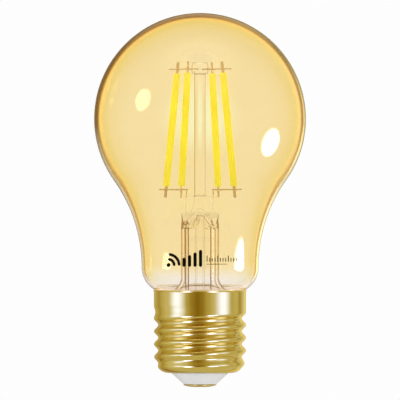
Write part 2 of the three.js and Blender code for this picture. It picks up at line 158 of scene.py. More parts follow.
def loft(name, rows, ends="poles"):
    """A skin over rings of points, each ring the same length. Its ends are closed with poles, or as a "ring" the
    last row joins the first."""
    n = len(rows[0])
    verts = [p for row in rows for p in row]
    last = len(rows) - 1
    faces = []
    for i in range(last if ends == "poles" else len(rows)):
        a, b = i * n, ((i + 1) % len(rows)) * n
        for j in range(n):
            k = (j + 1) % n
            faces.append((a + j, a + k, b + k, b + j))
    if ends == "poles":
        for row, base in ((rows[0], 0), (rows[-1], last * n)):
            centre = sum((Vector(p) for p in row), Vector()) / n
            verts.append(centre)
            tip = len(verts) - 1
            for j in range(n):
                k = (j + 1) % n
                faces.append((tip, base + k, base + j) if base == 0 else (tip, base + j, base + k))
    obj = new_object(name, verts, faces)
    face_outwards(obj)
    return obj


def face_outwards(obj):
    bm = bmesh.new()
    bm.from_mesh(obj.data)
    bmesh.ops.recalc_face_normals(bm, faces=bm.faces)
    bm.to_mesh(obj.data)
    bm.free()


def supported(profile, closed=False, edge=0.12 * MM, longest=1.5 * MM):
    """The same outline with points near the ends of its long straights, so that smooth shading stays true there."""
    out = []
    ends = profile[1:] + profile[:1] if closed else profile[1:]
    for (r0, z0), (r1, z1) in zip(profile, ends):
        out.append((r0, z0))
        length = math.hypot(r1 - r0, z1 - z0)
        if length < 4 * edge:
            continue
        steps = max(math.ceil((length - 2 * edge) / longest), 1)
        for i in range(steps + 1):
            t = (edge + (length - 2 * edge) * i / steps) / length
            out.append((lerp(r0, r1, t), lerp(z0, z1, t)))
    return out if closed else out + [profile[-1]]


def lathe(name, profile, segments=96, closed=False):
    """A solid of revolution about Z from (radius, height) points. An open profile is closed with poles."""
    return spin(name, supported(profile, closed), segments, closed)


def spin(name, profile, segments, closed=False):
    """The solid of revolution of an outline that is already fine enough."""
    rows = [
        [(r * math.cos(TAU * j / segments), r * math.sin(TAU * j / segments), z) for j in range(segments)]
        for r, z in profile
    ]
    return loft(name, rows, "ring" if closed else "poles")


def arc(centre_r, centre_z, radius, start, end, steps):
    """(radius, height) points along an arc, angles in degrees from the radius axis."""
    out = []
    for i in range(steps + 1):
        a = math.radians(lerp(start, end, i / steps))
        out.append((centre_r + radius * math.cos(a), centre_z + radius * math.sin(a)))
    return out


def smooth_path(points, per_span=8):
    """A centripetal Catmull-Rom curve through points."""
    pts = [Vector(p) for p in points]
    pts = [2 * pts[0] - pts[1], *pts, 2 * pts[-1] - pts[-2]]
    out = []
    for p0, p1, p2, p3 in zip(pts, pts[1:], pts[2:], pts[3:]):
        t1 = math.sqrt((p1 - p0).length) or 1e-6
        t2 = t1 + (math.sqrt((p2 - p1).length) or 1e-6)
        t3 = t2 + (math.sqrt((p3 - p2).length) or 1e-6)
        for i in range(per_span):
            t = lerp(t1, t2, i / per_span)
            a1 = p0 * ((t1 - t) / t1) + p1 * (t / t1)
            a2 = p1 * ((t2 - t) / (t2 - t1)) + p2 * ((t - t1) / (t2 - t1))
            a3 = p2 * ((t3 - t) / (t3 - t2)) + p3 * ((t - t2) / (t3 - t2))
            b1 = a1 * ((t2 - t) / t2) + a2 * (t / t2)
            b2 = a2 * ((t3 - t) / (t3 - t1)) + a3 * ((t - t1) / (t3 - t1))
            out.append(b1 * ((t2 - t) / (t2 - t1)) + b2 * ((t - t1) / (t2 - t1)))
    out.append(pts[-2])
    return out


def wire(name, points, radius, sides=14, per_span=8, rng=None):
    """A drawn wire with rounded ends. rng gives it the slight unevenness of a hand-bent wire."""
    path = smooth_path(points, per_span)
    if rng:
        for i in range(1, len(path) - 1):
            path[i] = path[i] + Vector([rng.uniform(-1, 1) * radius * 0.08 for _ in range(3)])
    ahead = (path[1] - path[0]).normalized()
    side = ahead.orthogonal().normalized()
    round_end = [(1 - math.sin(math.radians(a)), math.cos(math.radians(a))) for a in (75, 45, 20)] + [(1, 1)]
    rings = []

    def ring(centre, r):
        up = ahead.cross(side)
        turns = [TAU * j / sides for j in range(sides)]
        return [centre + (side * math.cos(turn) + up * math.sin(turn)) * r for turn in turns]

    for i, p in enumerate(path):
        a, b = path[max(i - 1, 0)], path[min(i + 1, len(path) - 1)]
        ahead = (b - a).normalized()
        side = (side - ahead * side.dot(ahead)).normalized()
        if i == 0:
            rings += [ring(p + ahead * radius * depth, radius * wide) for depth, wide in round_end]
        elif i == len(path) - 1:
            rings += [ring(p - ahead * radius * depth, radius * wide) for depth, wide in round_end[::-1]]
        elif (p - path[0]).length > radius * 1.2 and (p - path[-1]).length > radius * 1.2:
            rings.append(ring(p, radius))
    return loft(name, rings)


def finish_piece(obj, slot, material, *nodes):
    """Give a piece its material, attach it to the root body that it rides on, and hide the CAD nodes that it stands
    for. Its slot is not used.
    """
    obj.data.materials.append(material)
    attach(obj, "root")
    if nodes:
        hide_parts(*nodes)
    return obj


# ------------------------------------ materials
class NodeTree:
    """Helpers for the nodes of a material, a light or the world."""

    def __init__(self, owner):
        owner.use_nodes = True
        self.nodes = owner.node_tree.nodes
        self.links = owner.node_tree.links

    def node(self, kind, **values):
        """A new node. Each value is one of its settings, or else one of its inputs."""
        made = self.nodes.new(kind)
        for key, value in values.items():
            if hasattr(made, key):
                setattr(made, key, value)
            else:
                made.inputs[key.replace("_", " ")].default_value = value
        return made

    def feed(self, socket, source):
        """Link a socket to another node's output, or set it to a number or a colour."""
        if isinstance(source, bpy.types.NodeSocket):
            self.links.new(source, socket)
        else:
            socket.default_value = (*source, 1) if isinstance(source, tuple) else source

    def math(self, operation, *sources, **settings):
        made = self.node("ShaderNodeMath", operation=operation, **settings)
        for socket, source in zip(made.inputs, sources):
            self.feed(socket, source)
        return made.outputs[0]

    def fade(self, source, start, end, first=0, last=1, kind="LINEAR"):
        """From first to last as the source goes from start to end."""
        made = self.node("ShaderNodeMapRange", interpolation_type=kind)
        for label, value in (("From Min", start), ("From Max", end), ("To Min", first), ("To Max", last)):
            made.inputs[label].default_value = value
        self.feed(made.inputs["Value"], source)
        return made.outputs["Result"]

    def ramp(self, source, stops, mode="EASE"):
        """The colour of a source through (position, colour or grey level) stops."""
        made = self.node("ShaderNodeValToRGB")
        made.color_ramp.interpolation = mode
        elements = made.color_ramp.elements
        for i, (position, colour) in enumerate(stops):
            element = elements[i] if i < 2 else elements.new(position)
            element.position = position
            element.color = (*colour, 1) if isinstance(colour, tuple) else (colour, colour, colour, 1)
        self.feed(made.inputs["Fac"], source)
        return made.outputs["Color"]

    def mix(self, factor, a, b, blend="MIX"):
        made = self.node("ShaderNodeMix", data_type="RGBA", blend_type=blend)
        colours = [i for i in made.inputs if i.type == "RGBA"]
        for socket, source in zip((made.inputs["Factor"], *colours), (factor, a, b)):
            self.feed(socket, source)
        return next(o for o in made.outputs if o.type == "RGBA")


class Shader(NodeTree):
    """A material on one Principled shader, with helpers for procedural detail in object space."""

    def __init__(self, name, **values):
        self.material = bpy.data.materials.new(name)
        super().__init__(self.material)
        self.shader = self.nodes["Principled BSDF"]
        for key, value in values.items():
            self.shader.inputs[key.replace("_", " ")].default_value = value
        self.place = self.node("ShaderNodeTexCoord").outputs["Object"]
        self.normal = None

    def drive(self, socket, source):
        self.feed(self.shader.inputs[socket], source)

    def noise(self, scale, detail=3, rough=0.55, stretch=(1, 1, 1)):
        """Noise of about 0.3 to 0.7, in object space with a scale along each axis."""
        mapping = self.node("ShaderNodeMapping", Scale=stretch)
        self.feed(mapping.inputs["Vector"], self.place)
        made = self.node("ShaderNodeTexNoise", Scale=scale, Detail=detail, Roughness=rough)
        self.feed(made.inputs["Vector"], mapping.outputs["Vector"])
        return made.outputs["Fac"]

    def spread(self, noise, first, last):
        """Noise spread over a range of values."""
        return self.fade(noise, 0.3, 0.7, first, last)

    def mottle(self, noise, dark, light):
        """Noise as a colour between two."""
        return self.ramp(noise, [(0.3, dark), (0.7, light)])

    def height(self, start, end):
        """0 to 1 between two heights of object space."""
        split = self.node("ShaderNodeSeparateXYZ")
        self.feed(split.inputs[0], self.place)
        return self.fade(split.outputs["Z"], start, end)

    def roughness(self, noise, smoothest, roughest):
        self.drive("Roughness", self.spread(noise, smoothest, roughest))

    def bump(self, source, depth, strength=1.0):
        """A bump over the ones made before."""
        made = self.node("ShaderNodeBump", Strength=strength, Distance=depth)
        self.feed(made.inputs["Height"], source)
        if self.normal:
            self.feed(made.inputs["Normal"], self.normal)
        self.normal = made.outputs["Normal"]
        self.drive("Normal", self.normal)


def metal(name, dark, light, rough, scale=400, stretch=(1, 1, 1), depth=0.004 * MM, metallic=1.0):
    s = Shader(name, Metallic=metallic)
    grain = s.noise(scale, 4, 0.6, stretch)
    s.drive("Base Color", s.mottle(grain, dark, light))
    s.roughness(s.noise(scale * 0.35, 3), *rough)
    s.bump(grain, depth, 0.5)
    return s.material


def lead_wire(press_top):
    """Nickel-plated wire. Up to the top of the press, where it lies in the glass, it is painted paler and has a
    painted glow, though it is no lamp."""
    s = Shader("inner_lead_nickel_painted_glow", Metallic=0.1, Emission_Strength=1.0)
    grain = s.noise(1500, 4, 0.6)
    bare = s.mottle(grain, (0.93, 0.70, 0.22), (1.0, 0.80, 0.30))
    # painted light: the wire is paler where it lies in the press
    painted_pale_in_press = s.mottle(grain, (0.98, 0.90, 0.74), (1.0, 0.95, 0.8))
    out_of_press = s.height(*press_top)
    s.drive("Base Color", s.mix(out_of_press, painted_pale_in_press, bare))
    # painted glow: emission on the wire in the press, though it is no lamp
    s.drive("Emission Color", s.mix(out_of_press, (0.5, 0.42, 0.27), (0.0, 0.0, 0.0)))
    s.roughness(s.noise(500, 3), 0.35, 0.5)
    s.bump(grain, 0.004 * MM, 0.5)
    return s.material


def plastic(name, dark, light, rough, scale=900, depth=0.01 * MM, gloss=0.5):
    s = Shader(name, Specular_IOR_Level=gloss)
    s.drive("Base Color", s.mottle(s.noise(scale * 0.2, 4), dark, light))
    s.roughness(s.noise(scale * 0.4), *rough)
    s.bump(s.noise(scale, 2), depth, 0.5)
    return s.material


def cement():
    """Chalky basing cement. It has a painted glow: it glows a little in its own colour, though it is no lamp."""
    s = Shader("cream_cement_painted_glow", Emission_Strength=0.85)
    chalk_and_painted_glow = s.mottle(s.noise(220, 4), (0.84, 0.73, 0.67), (0.94, 0.85, 0.80))
    s.drive("Base Color", chalk_and_painted_glow)
    # painted glow: the chalk colour again as emission
    s.drive("Emission Color", chalk_and_painted_glow)
    s.roughness(s.noise(440), 0.8, 0.95)
    s.bump(s.noise(1100, 2), 0.06 * MM, 0.5)
    return s.material


def gold():
    """Brass plating: nearly a mirror, drawn round in fine rings and slightly dented."""
    s = Shader("gold_brass", Metallic=1.0)
    cloud = s.noise(120, 4, 0.6)
    rings = s.noise(700, 3, 0.6, (0.05, 0.05, 1))
    s.drive("Base Color", s.mottle(cloud, (0.86, 0.68, 0.26), (0.90, 0.72, 0.30)))
    s.roughness(cloud, 0.08, 0.13)
    s.bump(rings, 0.003 * MM, 0.3)
    s.bump(s.noise(55, 2), 0.015 * MM, 0.5)
    return s.material


def phosphor():
    """Silicone full of yellow phosphor. It has a painted glow: a greenish yellow emission that brightens it, though
    the filament is not lit.
    """
    s = Shader("phosphor", Subsurface_Weight=0.25, Subsurface_Scale=0.6 * MM, Subsurface_Radius=(1.0, 0.8, 0.2),
               Emission_Strength=0.5, Specular_IOR_Level=0.15)
    cloud = s.noise(420, 4, 0.6, (1, 1, 0.35))
    s.drive("Base Color", s.mottle(cloud, (0.92, 0.74, 0.004), (0.98, 0.84, 0.012)))
    # painted glow: greenish yellow emission over the phosphor's own colour
    s.drive("Emission Color", s.mottle(cloud, (0.84, 0.90, 0.05), (0.92, 1.0, 0.07)))
    s.roughness(s.noise(900), 0.38, 0.55)
    s.bump(s.noise(1500, 3), 0.03 * MM, 0.5)
    return s.material


def glass(name, tint_and_edge_shade, bend):
    """Solid glass of a refractive index. tint makes its colour from how far the surface turns away from the eye:
    0 faces it and 1 is edge on."""
    s = Shader(name, Roughness=0.0, IOR=bend, Transmission_Weight=1.0)
    # painted shade: the colour from how far the surface turns away darkens the edges
    s.drive("Base Color", tint_and_edge_shade(s, s.node("ShaderNodeLayerWeight", Blend=0.5).outputs["Facing"]))
    s.bump(s.noise(90, 2, 0.4), 0.008 * MM)
    return s


# The amber coat: its colours, and the heights between which each takes over from the one under it. Then the edge
# tints, by how far the surface turns away: painted shade that darkens the rims of the glass. The inside of the glass
# turns away sooner than the outside in front of it, so each has its own tints.
BARE_GLASS, THIN_COAT, FULL_COAT = (0.935, 0.90, 0.865), (0.95, 0.90, 0.80), (0.955, 0.845, 0.585)
BARE_HEIGHTS = (28.5 * MM, 32 * MM)
COAT_HEIGHTS = (28 * MM, 35.5 * MM)
NECK_TO_DOME = (55 * MM, 74 * MM)
MIDDLE_TINTS = [(0.3, 1.0), (0.415, (0.985, 0.97, 0.895)), (0.537, (0.985, 0.95, 0.73))]
OUTER_NECK_EDGE_SHADE = [(0.6, (1.0, 0.92, 0.48)), (0.635, (0.9, 0.64, 0.24)), (0.665, (0.3, 0.14, 0.035)),
                    (0.7, (0.12, 0.05, 0.012)), (0.74, (0.5, 0.34, 0.16)), (0.78, (0.95, 0.85, 0.6)), (0.85, 1.0)]
OUTER_DOME_EDGE_SHADE = [(0.6, (1.0, 0.94, 0.56)), (0.66, (1.0, 0.88, 0.36)), (0.685, (0.95, 0.72, 0.22)),
                    (0.71, (0.5, 0.27, 0.06)), (0.725, (0.15, 0.06, 0.012)), (0.8, (0.04, 0.015, 0.004)),
                    (0.87, (0.14, 0.065, 0.025)), (0.95, (0.5, 0.34, 0.2))]
INNER_NECK_EDGE_SHADE = [(0.58, (1.0, 0.94, 0.56)), (0.66, (1.0, 0.9, 0.45)), (0.8, (1.0, 0.95, 0.7)), (0.9, 1.0)]
INNER_DOME_EDGE_SHADE = [(0.6, (1.0, 0.94, 0.56)), (0.66, (1.0, 0.9, 0.42)), (0.74, (1.0, 0.84, 0.34)),
                    (0.79, (0.8, 0.52, 0.18)), (0.85, (0.25, 0.1, 0.025)), (0.95, (0.3, 0.2, 0.12))]


def amber_glass(name, neck_edge_shade, dome_edge_shade):
    """Glass with an amber coat that thins out to bare glass just above the cap."""

    def tint_and_edge_shade(s, turned):
        # painted shade: the edge tints darken the rims of the dome and the neck
        dome = s.ramp(turned, MIDDLE_TINTS + dome_edge_shade, "LINEAR")
        neck = s.ramp(turned, MIDDLE_TINTS + neck_edge_shade, "LINEAR")
        edge = s.mix(s.height(*NECK_TO_DOME), neck, dome)
        coat = s.ramp(s.height(*COAT_HEIGHTS), [(0.0, BARE_GLASS), (0.3, THIN_COAT), (1.0, FULL_COAT)])
        return s.mix(s.height(*BARE_HEIGHTS), BARE_GLASS, s.mix(1, coat, edge, "MULTIPLY"))

    s = glass(name, tint_and_edge_shade, 1.5)
    s.roughness(s.noise(60, 3), 0.0, 0.012)
    return s.material


CLEAR_BEND = 1.2  # under that of real glass, so that thin walls show as thin lines


def clear_glass():
    # painted shade: the clear glass turns brown and dark towards its edges
    edge = [(0.5, 1.0), (0.62, (0.72, 0.52, 0.3)), (0.74, (0.28, 0.13, 0.04)), (0.95, (0.2, 0.09, 0.02))]
    return glass("clear_glass", lambda s, turned: s.ramp(turned, edge, "LINEAR"), CLEAR_BEND).material


def stem_glass(roof_foot, roof_top):
    """Clear glass with painted shade: brown edges, brown all over its folds where the roof of the bore is pinched,
    and paler brown edges in the press above that."""

    def tint_and_edge_shade(s, turned):
        # painted shade: brown and dark edges on the shaft
        shaft = s.ramp(turned, [(0.55, 1.0), (0.62, (0.7, 0.42, 0.17)), (0.72, (0.3, 0.13, 0.03)),
                                (0.95, (0.3, 0.14, 0.04))])
        # painted shade: paler brown edges in the press
        press = s.ramp(turned, [(0.6, 1.0), (0.8, (0.85, 0.72, 0.5)), (0.95, (0.6, 0.45, 0.25))])
        wrinkled = s.math("ADD", turned, s.spread(s.noise(700, 3), -0.14, 0.14))
        # painted shade: dark brown over the folds of the pinched roof, broken up by noise
        folds = s.ramp(wrinkled, [(0.44, 1.0), (0.52, (0.42, 0.17, 0.04)), (0.62, (0.1, 0.035, 0.006)),
                                  (0.95, (0.12, 0.05, 0.012))])
        in_roof = s.mix(1, s.height(roof_foot - 0.3 * MM, roof_foot), s.height(roof_top + 0.3 * MM, roof_top),
                        "MULTIPLY")
        return s.mix(in_roof, s.mix(s.height(roof_top, roof_top + 0.6 * MM), shaft, press), folds)

    return glass("stem_glass", tint_and_edge_shade, CLEAR_BEND).material


AMBER = amber_glass("amber_glass", OUTER_NECK_EDGE_SHADE, OUTER_DOME_EDGE_SHADE)
AMBER_INSIDE = amber_glass("amber_glass_inside", INNER_NECK_EDGE_SHADE, INNER_DOME_EDGE_SHADE)
CLEAR = clear_glass()
STEM = stem_glass(45.1 * MM, 49 * MM)
GOLD = gold()
PHOSPHOR = phosphor()
NICKEL = metal("nickel_wire", (0.97, 0.72, 0.37), (1.0, 0.82, 0.46), (0.4, 0.5), 1500, metallic=0.25)
LEAD = lead_wire((53.5 * MM, 54.8 * MM))
COPPER = metal("copper", (0.84, 0.40, 0.13), (0.98, 0.54, 0.20), (0.4, 0.55), 1200, metallic=0.3)
INSULATOR = plastic("insulator_plastic", (0.74, 0.74, 0.745), (0.79, 0.79, 0.795), (0.42, 0.55))
INK = plastic("printed_ink", (0.001, 0.001, 0.001), (0.004, 0.004, 0.004), (0.7, 0.9), 2500, 0.003 * MM, 0.1)


# ------------------------------------ glass envelope
def envelope_outline(depth):
    """The glass outline under the outer surface, dome top to neck tube end, as the CAD part draws it."""
    flank_r = NECK_RADIUS + FLANK_RADIUS
    flank_z = DOME_CENTRE_Z - math.sqrt((BULB_RADIUS + FLANK_RADIUS) ** 2 - flank_r**2)
    flank = math.degrees(math.atan2(DOME_CENTRE_Z - flank_z, -flank_r))
    shoulder_r = NECK_RADIUS - SHOULDER_RADIUS
    fillet_r = SEAL_TUBE_RADIUS + SEAL_FILLET
    fillet_z = flank_z - math.sqrt((SHOULDER_RADIUS + SEAL_FILLET) ** 2 - (fillet_r - shoulder_r) ** 2)
    fillet = math.degrees(math.atan2(flank_z - fillet_z, shoulder_r - fillet_r))
    return [
        *arc(0, DOME_CENTRE_Z, BULB_RADIUS - depth, 89.6, flank - 180, 120)[:-1],
        *arc(flank_r, flank_z, FLANK_RADIUS + depth, flank, 180, 40)[:-1],
        *arc(shoulder_r, flank_z, SHOULDER_RADIUS - depth, 0, fillet - 180, 32)[:-1],
        *arc(fillet_r, fillet_z, SEAL_FILLET + depth, fillet, 180, 12),
        (SEAL_TUBE_RADIUS - depth, lerp(fillet_z, SEAL_Z, 0.5)),
        (SEAL_TUBE_RADIUS - depth, SEAL_Z + 0.3 * MM),
    ]


OUTLINE = envelope_outline(0)


def neck_surface(z):
    """Outer glass radius at a height on the flank or shoulder."""
    for (r0, z0), (r1, z1) in zip(OUTLINE, OUTLINE[1:]):
        if z1 <= z <= z0 and z0 > z1:
            return lerp(r1, r0, (z - z1) / (z0 - z1))
    return NECK_RADIUS


def glass_bulb():
    """The glass wall, open at its lower end, with its inside faces in a material of their own."""
    inside = envelope_outline(GLASS_WALL)
    rim = arc(SEAL_TUBE_RADIUS - GLASS_WALL / 2, SEAL_Z + 0.4 * MM, GLASS_WALL / 2, 0, -180, 8)[1:-1]
    bulb = spin("glass_bulb", OUTLINE + rim + inside[::-1], 192)
    finish_piece(bulb, "amber_glass", AMBER, "glass_envelope")
    bulb.data.materials.append(AMBER_INSIDE)
    for face in bulb.data.polygons:
        outwards = Vector((face.center.x, face.center.y, max(face.center.z - DOME_CENTRE_Z, 0)))
        face.material_index = 1 if face.normal.dot(outwards) < 0 else 0


glass_bulb()


# ------------------------------------ screw cap
def thread_rise(angle, z):
    """Height of the right-hand thread over its root. Whole turns count up from the lowest crest."""
    turn = (angle % TAU) / TAU
    crest = (z - FIRST_CREST_Z) / PITCH - turn
    wave = (1 + math.cos(TAU * crest)) / 2
    start = smoothstep(math.floor(crest + 0.5) + turn, *RUN_IN)
    run_out = 1 - smoothstep(math.floor(crest) + 0.5 + turn, *RUN_OUT)
    corner = smoothstep(z, SHELL_BOTTOM_Z + 0.3 * MM, CORNER_Z + 0.1 * MM)
    return THREAD_DEPTH * (1 - (1 - wave) * run_out) * start * corner


def shell_outline(depth):
    """The shell's outline at a depth under the outer surface, with a flared lip and no thread yet."""
    root = ROOT_RADIUS - depth
    thread_top = SHELL_TOP_Z - 1.6 * MM
    rows = 120
    walls = [(root, lerp(thread_top, CORNER_Z, i / rows)) for i in range(rows + 1)]
    corner = [
        (CORNER_R + (CORNER_WIDE - depth) * r, CORNER_Z + (CORNER_HIGH - depth) * z)
        for r, z in arc(0, 0, 1, 0, -90, 14)[1:]
    ]
    lip = [(root + 0.22 * MM * t * t, lerp(SHELL_TOP_Z - 0.6 * MM, SHELL_TOP_Z - 0.15 * MM, t))
           for t in (1, 0.8, 0.6, 0.4, 0.2, 0)]
    return [*lip, *walls, *corner, (8.4 * MM, SHELL_BOTTOM_Z + depth)]


def shell_skin():
    """The pressed shell: the thread stands out on the inside and the outside alike."""
    segments = 192
    outside, inside = shell_outline(0), shell_outline(SHELL_WALL)
    lip_r, lip_z = (outside[0][0] + inside[0][0]) / 2, outside[0][1]
    lip = arc(lip_r, lip_z, SHELL_WALL / 2, 180, 0, 6)[1:-1]
    foot = [(8.3 * MM, SHELL_BOTTOM_Z + SHELL_WALL / 2)]
    profile = outside + foot + inside[::-1] + lip
    rows = []
    for r, z in profile:
        row = []
        for j in range(segments):
            angle = TAU * j / segments
            grown = r + thread_rise(angle, z)
            row.append((grown * math.cos(angle), grown * math.sin(angle), z))
        rows.append(row)
    return loft("screw_shell_skin", rows, "ring")


finish_piece(shell_skin(), "gold_brass", GOLD, "screw_shell")


def insulator_cone():
    """The insulator: a cone under the shell and a wide disc inside it, round the bore of the contact's rivet."""
    top, foot = high("cap_insulator").z, low("cap_insulator").z
    bore = 1.35 * MM
    wide, tip = 8.1 * MM, 4.65 * MM
    cone_top = SHELL_BOTTOM_Z - 0.08 * MM
    steps = 24
    disc = [(bore, top), (11.0 * MM, top), (11.1 * MM, top - 0.1 * MM), (10.9 * MM, foot + 4.9 * MM),
            (9.9 * MM, foot + 3.95 * MM), (8.7 * MM, foot + 3.58 * MM), (wide - 0.15 * MM, foot + 3.56 * MM)]
    shoulder = [(wide - 0.12 * MM, cone_top + 0.02 * MM), (wide - 0.1 * MM, cone_top - 0.12 * MM)]
    cone = [(lerp(wide, tip, i / steps), lerp(cone_top, foot, i / steps)) for i in range(2, steps)]
    foot_edge = [(tip + 0.1 * MM, foot + 0.03 * MM), (tip - 0.05 * MM, foot), (bore, foot)]
    return lathe("insulator_cone", disc + shoulder + cone + foot_edge, 128, closed=True)


finish_piece(insulator_cone(), "insulator_plastic", INSULATOR, "cap_insulator")


def contact_button():
    """A dished brass disc with the dimple of its rivet, and the rivet's shank up through the insulator."""
    top = high("centre_contact").z
    shank = 1.2 * MM
    disc = [(1.2, 0.75), (4.4, 0.77), (4.6, 0.74), (4.69, 0.64), (4.68, 0.55), (4.58, 0.47), (4.35, 0.4),
            (4.0, 0.31), (3.6, 0.2), (3.1, 0.1), (2.6, 0.04), (2.1, 0.005), (1.7, 0.0), (1.3, 0.03),
            (1.1, 0.09), (0.8, 0.11), (0.4, 0.07), (0.1, 0.05)]
    profile = [(0.05 * MM, top), (shank - 0.2 * MM, top), (shank, top - 0.2 * MM),
               *[(r * MM, z * MM) for r, z in disc]]
    return lathe("contact_button", profile)


finish_piece(contact_button(), "gold_brass", GOLD, "centre_contact")


# ------------------------------------ stem
def oval(half_x, half_y, z, power, count):
    """A ring that is an ellipse at power 2 and squarer above it."""
    row = []
    for j in range(count):
        a = TAU * j / count
        c, s = math.cos(a), math.sin(a)
        k = (abs(c) ** power + abs(s) ** power) ** (-1 / power)
        row.append((half_x * c * k, half_y * s * k, z))
    return row


def flare(radius, drop):
    """The outline of the stem's flared foot, from a shaft of a radius down, lowered by drop."""
    points = [(0, 32), (0.05, 30), (1.2, 27.7), (2.9, 25.4), (3.9, 23.5), (4.2, SEAL_Z / MM)]
    path = smooth_path([(radius + r * MM, 0, z * MM - drop) for r, z in points], 8)
    return [(p.x, p.z) for p in path]


def wrinkle(angle, t):
    """How far the pinched roof of the stem bore rises or falls at an angle. t is 0 at its foot and 1 at its tip."""
    return math.sin(math.pi * t) * MM * (0.32 * math.sin(4 * angle + 0.6) + 0.22 * math.sin(9 * angle + 2 + 3 * t)
                                         + 0.12 * math.sin(17 * angle + 5 * t))


def stem():
    """The press, the shoulders down to the round shaft, the flare and its rim, then the bore up to its roof."""
    rows = []

    def add_oval(half_x, half_y, z, power=2):
        rows.append(oval(half_x, half_y, z, power, 144))

    def add_circle(r, z):
        add_oval(r, r, z)

    edge = 0.7 * MM
    for angle in (8, 30, 50, 68, 82):
        s, c = math.sin(math.radians(angle)), math.cos(math.radians(angle))
        add_oval(STEM_RADIUS - edge * (1 - s), PRESS_HALF_THICK - edge * (1 - s), PRESS_TOP_Z - edge * (1 - c),
                 PRESS_SQUARENESS)
    for i in range(7):
        add_oval(STEM_RADIUS, PRESS_HALF_THICK, lerp(PRESS_TOP_Z - edge, PRESS_FOOT_Z, i / 7), PRESS_SQUARENESS)
    for i in range(25):
        t = i / 24
        waist = 1 - 0.03 * math.sin(math.pi * t)
        add_oval(STEM_RADIUS * waist, lerp(PRESS_HALF_THICK, STEM_RADIUS, smoothstep(t, 0, 1)),
                 lerp(PRESS_FOOT_Z, SHAFT_TOP_Z, t), lerp(PRESS_SQUARENESS, 2, smoothstep(t, 0.1, 0.8)))
    for i in range(1, 12):
        add_circle(STEM_RADIUS, lerp(SHAFT_TOP_Z, SHAFT_FOOT_Z, i / 12))
    for r, z in flare(STEM_RADIUS, 0):
        add_circle(r, z)
    rim = SEAL_TUBE_RADIUS - 0.05 * MM
    for r, z in ((rim - 0.5 * MM, SEAL_Z - 0.05 * MM), (rim, SEAL_Z - 0.1 * MM), (rim, FLARE_RIM_Z + 0.1 * MM),
                 (rim - 0.1 * MM, FLARE_RIM_Z), (STEM_BORE + 4.3 * MM, FLARE_RIM_Z),
                 (STEM_BORE + 4.2 * MM, FLARE_RIM_Z + 0.1 * MM)):
        add_circle(r, z)
    for r, z in flare(STEM_BORE, 0.5 * MM)[::-1]:
        add_circle(r, z)
    for i in range(1, 12):
        add_circle(STEM_BORE, lerp(SHAFT_FOOT_Z, ROOF_FOOT_Z, i / 12))
    for i in range(21):
        t = i / 20
        add_oval(lerp(STEM_BORE, ROOF_TIP_RADIUS, t), lerp(STEM_BORE, ROOF_TIP_RADIUS, math.sin(t * math.pi / 2)),
                 lerp(ROOF_FOOT_Z, ROOF_TIP_Z, t))
        rows[-1] = [(x, y, z + wrinkle(math.atan2(y, x), t)) for x, y, z in rows[-1]]
    for i in range(1, 5):
        add_circle(ROOF_TIP_RADIUS, ROOF_TIP_Z + 0.3 * MM * i)
    add_circle(ROOF_TIP_RADIUS * 0.5, ROOF_TIP_Z + 1.45 * MM)
    return loft("stem_glass", rows)


def exhaust_tube():
    """A tube down from the press, open at its top and melted shut in a tip at its foot."""
    top, foot = high("exhaust_tube").z, low("exhaust_tube").z
    bore, outer = 0.9 * MM, 1.4 * MM
    profile = [(0.03 * MM, foot + 1.35 * MM), (0.3 * MM, foot + 1.45 * MM), (0.65 * MM, foot + 1.8 * MM),
               (bore, foot + 2.6 * MM), (bore, top - 0.05 * MM), (bore + 0.05 * MM, top), (outer - 0.1 * MM, top),
               (outer, top - 0.1 * MM), (outer, foot + 2 * MM), (1.3 * MM, foot + 1.3 * MM),
               (1.05 * MM, foot + 0.7 * MM), (0.6 * MM, foot + 0.2 * MM), (0.2 * MM, foot)]
    return lathe("exhaust_tube_glass", profile, 64)


def post():
    """A rod that widens in a fillet where it is fused to the button and to the press."""
    foot, top = low("centre_post").z, high("centre_post").z
    high_size, low_size = 0.3 * MM, 0.55 * MM

    def fillet(size, angles):
        turns = [math.radians(a) for a in angles]
        return [(POST_RADIUS + size * (1 - math.cos(a)), size * (1 - math.sin(a))) for a in turns]

    high_fillet = [(r, top - z) for r, z in fillet(high_size, (90, 60, 30, 0))]
    body = [(POST_RADIUS, lerp(top - high_size, foot + low_size, i / 20)) for i in range(1, 20)]
    low_fillet = [(r, foot + z) for r, z in fillet(low_size, (0, 20, 40, 60, 80, 90))]
    return lathe("post_glass", [*high_fillet, *body, *low_fillet], 64)


def button():
    """The lump of glass on top of the post, which holds the ends of the top wires."""
    top_edge, low_edge = 0.75 * MM, 0.45 * MM
    profile = [*arc(BUTTON_RADIUS - top_edge, BUTTON_HIGH - top_edge, top_edge, 90, 0, 8),
               *arc(BUTTON_RADIUS - low_edge, BUTTON_LOW + low_edge, low_edge, 0, -90, 6)]
    return lathe("button_glass", profile, 72)


finish_piece(stem(), "clear_glass", STEM, "stem")
finish_piece(exhaust_tube(), "clear_glass", CLEAR, "exhaust_tube")
finish_piece(post(), "clear_glass", CLEAR, "centre_post")
finish_piece(button(), "clear_glass", CLEAR, "top_button")


# ------------------------------------ filaments
def filament_place(n):
    """From a filament upright at the origin to its leaning place on the lamp."""
    return (
        Matrix.Rotation(quarter(n), 4, "Z")
        @ Matrix.Translation((FILAMENT_R, 0, FILAMENT_Z))
        @ Matrix.Rotation(-FILAMENT_LEAN, 4, "Y")
    )


